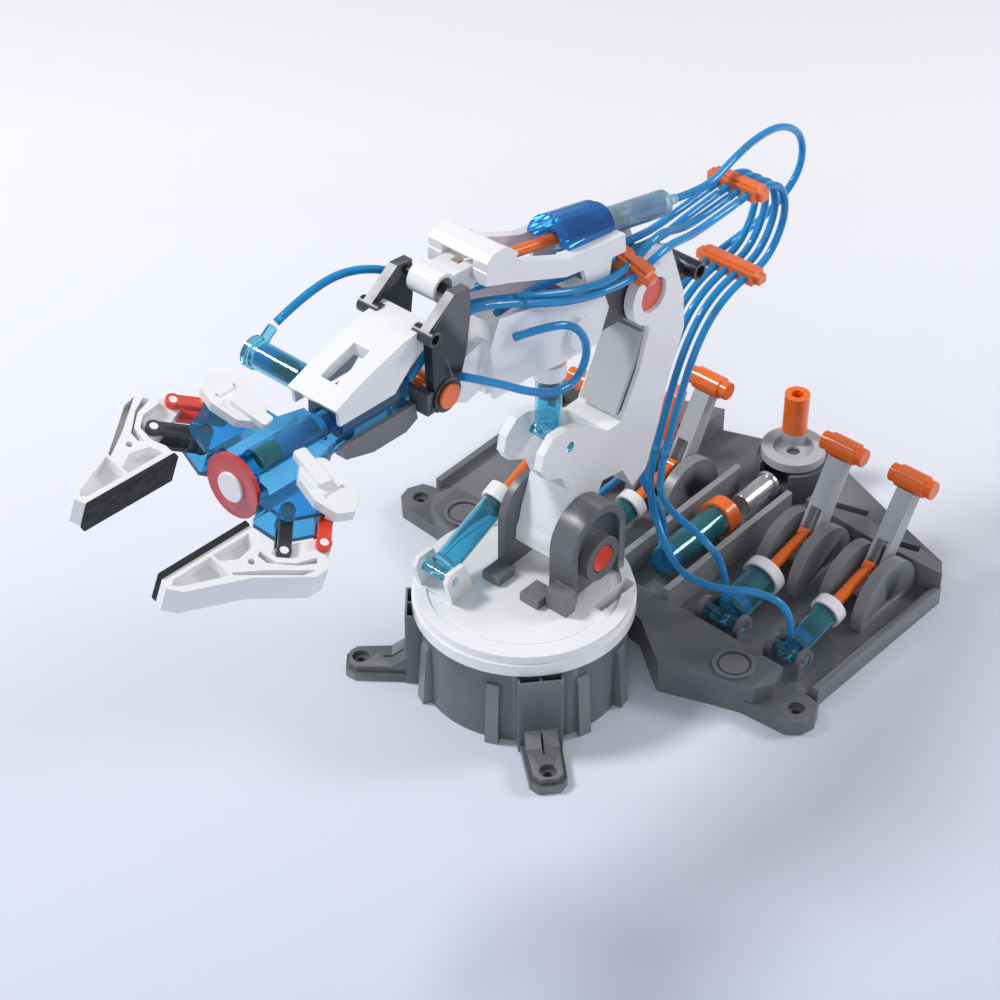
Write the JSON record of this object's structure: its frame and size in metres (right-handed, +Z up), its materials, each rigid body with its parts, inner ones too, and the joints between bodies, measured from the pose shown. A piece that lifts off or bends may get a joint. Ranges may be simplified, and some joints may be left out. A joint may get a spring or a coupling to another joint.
{
  "type": "hydraulic arm kit",
  "caption": "Toy robot arm on a turntable, with a jointed upper arm, forearm, wrist and gripper, worked by levers on a console through clear water-filled hoses.",
  "frame": {"origin": "turntable axis at the underside of the base, on the table", "axes": "+X from the console towards the gripper, +Z up, +Y to the left of someone looking along +X"},
  "size_m": [0.5189, 0.294, 0.3005],
  "materials": {
    "clear_blue": "clear gloss",
    "dark_grey_plastic": "satin",
    "frosted_blue": "clear gloss",
    "grey_plastic": "satin",
    "hose_blue": "clear gloss",
    "light_grey_plastic": "satin",
    "orange_plastic": "gloss",
    "red_orange_plastic": "gloss",
    "red_rubber": "matte",
    "silver_plastic": "satin",
    "white_plastic": "gloss"
  },
  "bodies": {
    "root": {"base_drum": "grey_plastic", "console_deck": "grey_plastic", "console_rails": "dark_grey_plastic", "console_front_bar": "grey_plastic", "lever_fairings": "grey_plastic", "crank_housing": "grey_plastic", "centre_cylinder": "clear_blue", "master_barrels": "clear_blue", "console_hoses": "hose_blue"},
    "turntable": {"turntable_disc": "white_plastic", "shoulder_brackets": "grey_plastic", "cylinder_clevis": "white_plastic", "shoulder_axle": "orange_plastic"},
    "upper_arm": {"upper_arm_shell": "white_plastic", "upper_arm_front": "light_grey_plastic", "elbow_axle": "orange_plastic", "riser_hoses": "hose_blue", "hose_clips": "orange_plastic"},
    "shoulder_barrel": {"shoulder_barrel": "clear_blue"},
    "shoulder_rod": {"shoulder_rod": "orange_plastic"},
    "elbow_barrel": {"elbow_barrel": "clear_blue"},
    "elbow_rod": {"elbow_rod": "orange_plastic"},
    "forearm": {"forearm_chassis": "dark_grey_plastic", "forearm_shell": "white_plastic", "forearm_fork": "white_plastic", "cylinder_cap": "clear_blue", "wrist_barrel": "frosted_blue", "wrist_axle": "orange_plastic", "forearm_hoses": "hose_blue", "forearm_clip": "orange_plastic"},
    "wrist_rod": {"wrist_rod": "orange_plastic"},
    "wrist_link": {"wrist_link": "red_orange_plastic"},
    "wrist": {"wrist_bracket": "dark_grey_plastic", "wrist_lower_shell": "grey_plastic", "wrist_core": "dark_grey_plastic", "wrist_cover": "white_plastic", "roll_cylinder": "clear_blue", "wrist_hoses": "hose_blue"},
    "head": {"head_body": "dark_grey_plastic", "grip_cylinder": "clear_blue", "suction_pad": "red_rubber", "head_covers": "white_plastic"},
    "trim_lever": {"trim_lever": "orange_plastic"},
    "crank": {"crank_disc": "light_grey_plastic", "crank_knob": "orange_plastic"},
    "drive_shaft": {"drive_shaft": "silver_plastic"},
    "rear_link_left": {"rear_link_left": "red_orange_plastic"},
    "rear_link_right": {"rear_link_right": "red_orange_plastic"},
    "front_link_left": {"front_link_left": "dark_grey_plastic"},
    "front_link_right": {"front_link_right": "dark_grey_plastic"},
    "jaw_left": {"jaw_left": "white_plastic"},
    "jaw_right": {"jaw_right": "white_plastic"},
    "lever_1": {"lever_1": "light_grey_plastic"},
    "master_rod_1": {"master_rod_1": "red_orange_plastic"},
    "lever_2": {"lever_2": "light_grey_plastic"},
    "master_rod_2": {"master_rod_2": "red_orange_plastic"},
    "lever_3": {"lever_3": "light_grey_plastic"},
    "master_rod_3": {"master_rod_3": "red_orange_plastic"},
    "lever_4": {"lever_4": "light_grey_plastic"},
    "master_rod_4": {"master_rod_4": "red_orange_plastic"}
  },
  "joints": [
    {"name": "turn", "type": "hinge", "parent": "root", "child": "turntable", "pos_m": [0, 0, 0.055], "axis": [0, 0, 1], "range_deg": [-135, 135], "deforming": ["console_hoses", "riser_hoses"]},
    {"name": "shoulder", "type": "hinge", "parent": "turntable", "child": "upper_arm", "pos_m": [-0.024, 0, 0.082], "axis": [0, 1, 0], "range_deg": [-18, 20], "deforming": ["riser_hoses"]},
    {"name": "elbow", "type": "hinge", "parent": "upper_arm", "child": "forearm", "pos_m": [-0.079, 0, 0.214], "axis": [0, 1, 0], "range_deg": [-12, 12], "deforming": ["riser_hoses", "forearm_hoses"]},
    {"name": "wrist", "type": "hinge", "parent": "forearm", "child": "wrist", "pos_m": [0.08, 0, 0.241], "axis": [0, -1, 0], "range_deg": [-15, 15], "deforming": ["wrist_hoses"]},
    {"name": "wrist_roll", "type": "hinge", "parent": "wrist", "child": "head", "pos_m": [0.08, 0, 0.241], "axis": [0.9987, 0, 0.0506], "range_deg": [-162, 18]},
    {"name": "grip", "type": "hinge", "parent": "head", "child": "rear_link_left", "pos_m": [0.17335, -0.03234, 0.25625], "axis": [-0.0481, 0.309, 0.9498], "range_deg": [-4, 35]},
    {"name": "grip_front_left", "type": "hinge", "parent": "head", "child": "front_link_left", "pos_m": [0.19143, -0.02568, 0.255], "axis": [-0.0481, 0.309, 0.9498], "range_deg": [-4.5, 35.5]},
    {"name": "jaw_left_level", "type": "hinge", "parent": "rear_link_left", "child": "jaw_left", "pos_m": [0.19008, -0.04708, 0.26189], "axis": [-0.0481, 0.309, 0.9498], "range_deg": [-35.5, 4.5]},
    {"name": "grip_rear_right", "type": "hinge", "parent": "head", "child": "rear_link_right", "pos_m": [0.17441, 0.03234, 0.23526], "axis": [-0.0481, 0.309, 0.9498], "range_deg": [-35.5, 4.5]},
    {"name": "grip_front_right", "type": "hinge", "parent": "head", "child": "front_link_right", "pos_m": [0.19228, 0.02568, 0.23833], "axis": [-0.0481, 0.309, 0.9498], "range_deg": [-35.5, 4.5]},
    {"name": "jaw_right_level", "type": "hinge", "parent": "rear_link_right", "child": "jaw_right", "pos_m": [0.19163, 0.04708, 0.23134], "axis": [-0.0481, 0.309, 0.9498], "range_deg": [-4.5, 35.5]},
    {"name": "shoulder_cylinder", "type": "hinge", "parent": "turntable", "child": "shoulder_barrel", "pos_m": [0.034, -0.0305, 0.074], "axis": [0, 1, 0], "range_deg": [-7.8, 8.7]},
    {"name": "shoulder_piston", "type": "slide", "parent": "shoulder_barrel", "child": "shoulder_rod", "axis": [-0.9228, 0, 0.3853], "range_m": [-0.0055, 0.005]},
    {"name": "elbow_cylinder", "type": "hinge", "parent": "upper_arm", "child": "elbow_barrel", "pos_m": [-0.018, 0, 0.15], "axis": [0, 1, 0], "range_deg": [-1.8, 1.8]},
    {"name": "elbow_piston", "type": "slide", "parent": "elbow_barrel", "child": "elbow_rod", "axis": [0, 0, 1], "range_m": [-0.0129, 0.0129]},
    {"name": "wrist_piston", "type": "slide", "parent": "forearm", "child": "wrist_rod", "axis": [0.9728, 0, 0.2317], "range_m": [-0.0129, 0.0129]},
    {"name": "wrist_link_pivot", "type": "hinge", "parent": "wrist_rod", "child": "wrist_link", "pos_m": [0.04464, 0, 0.28458], "axis": [0, 1, 0], "range_deg": [-1.5, 1.5]},
    {"name": "lever_1_tilt", "type": "hinge", "parent": "root", "child": "lever_1", "pos_m": [-0.165, -0.076, 0.013], "axis": [0, 1, 0], "range_deg": [-4, 32.8]},
    {"name": "master_piston_1", "type": "slide", "parent": "root", "child": "master_rod_1", "axis": [-0.9821, 0, 0.1883], "range_m": [-0.00897, 0.00117]},
    {"name": "lever_2_tilt", "type": "hinge", "parent": "root", "child": "lever_2", "pos_m": [-0.165, -0.029, 0.013], "axis": [0, 1, 0], "range_deg": [-15.4, 15.4]},
    {"name": "master_piston_2", "type": "slide", "parent": "root", "child": "master_rod_2", "axis": [-0.9821, 0, 0.1883], "range_m": [-0.00426, 0.00426]},
    {"name": "lever_3_tilt", "type": "hinge", "parent": "root", "child": "lever_3", "pos_m": [-0.165, 0.066, 0.013], "axis": [0, 1, 0], "range_deg": [-14.8, 14.8]},
    {"name": "master_piston_3", "type": "slide", "parent": "root", "child": "master_rod_3", "axis": [-0.9821, 0, 0.1883], "range_m": [-0.0041, 0.0041]},
    {"name": "lever_4_tilt", "type": "hinge", "parent": "root", "child": "lever_4", "pos_m": [-0.165, 0.11, 0.013], "axis": [0, 1, 0], "range_deg": [-18.4, 20.4]},
    {"name": "master_piston_4", "type": "slide", "parent": "root", "child": "master_rod_4", "axis": [-0.9821, 0, 0.1883], "range_m": [-0.00561, 0.00507]},
    {"name": "trim_lever_tilt", "type": "hinge", "parent": "root", "child": "trim_lever", "pos_m": [-0.183, -0.052, 0.012], "axis": [0, 1, 0], "range_deg": [-2.2, 17.7]},
    {"name": "crank_turn", "type": "hinge", "parent": "root", "child": "crank", "pos_m": [-0.222, 0.0165, 0.03], "axis": [0, 0, 1], "range_deg": [-136, 136]},
    {"name": "shaft_turn", "type": "hinge", "parent": "root", "child": "drive_shaft", "pos_m": [-0.185, 0.0165, 0.019], "axis": [1, 0, 0], "range_deg": [-136, 136]}
  ],
  "couplings": [
    {"joint": "grip_front_left", "follows": "grip", "ratio": 1},
    {"joint": "jaw_left_level", "follows": "grip", "ratio": -1},
    {"joint": "grip_rear_right", "follows": "grip", "ratio": -1},
    {"joint": "grip_front_right", "follows": "grip", "ratio": -1},
    {"joint": "jaw_right_level", "follows": "grip", "ratio": 1},
    {"joint": "shoulder_cylinder", "follows": "shoulder", "ratio": 0.4249},
    {"joint": "shoulder_piston", "follows": "shoulder", "m_per_rad": -0.01531},
    {"joint": "elbow_cylinder", "follows": "elbow", "ratio": 0.1348},
    {"joint": "elbow_piston", "follows": "elbow", "m_per_rad": -0.06082},
    {"joint": "wrist_piston", "follows": "wrist", "m_per_rad": -0.0488},
    {"joint": "wrist_link_pivot", "follows": "wrist", "ratio": 0.02},
    {"joint": "lever_1_tilt", "follows": "wrist_roll", "ratio": -0.2},
    {"joint": "master_piston_1", "follows": "wrist_roll", "m_per_rad": 0.0031},
    {"joint": "lever_2_tilt", "follows": "wrist", "ratio": -1},
    {"joint": "master_piston_2", "follows": "wrist", "m_per_rad": 0.0155},
    {"joint": "lever_3_tilt", "follows": "elbow", "ratio": -1.2},
    {"joint": "master_piston_3", "follows": "elbow", "m_per_rad": 0.0186},
    {"joint": "lever_4_tilt", "follows": "shoulder", "ratio": 1},
    {"joint": "master_piston_4", "follows": "shoulder", "m_per_rad": -0.0155},
    {"joint": "trim_lever_tilt", "follows": "grip", "ratio": 0.5},
    {"joint": "crank_turn", "follows": "turn", "ratio": 1},
    {"joint": "shaft_turn", "follows": "turn", "ratio": 1}
  ]
}
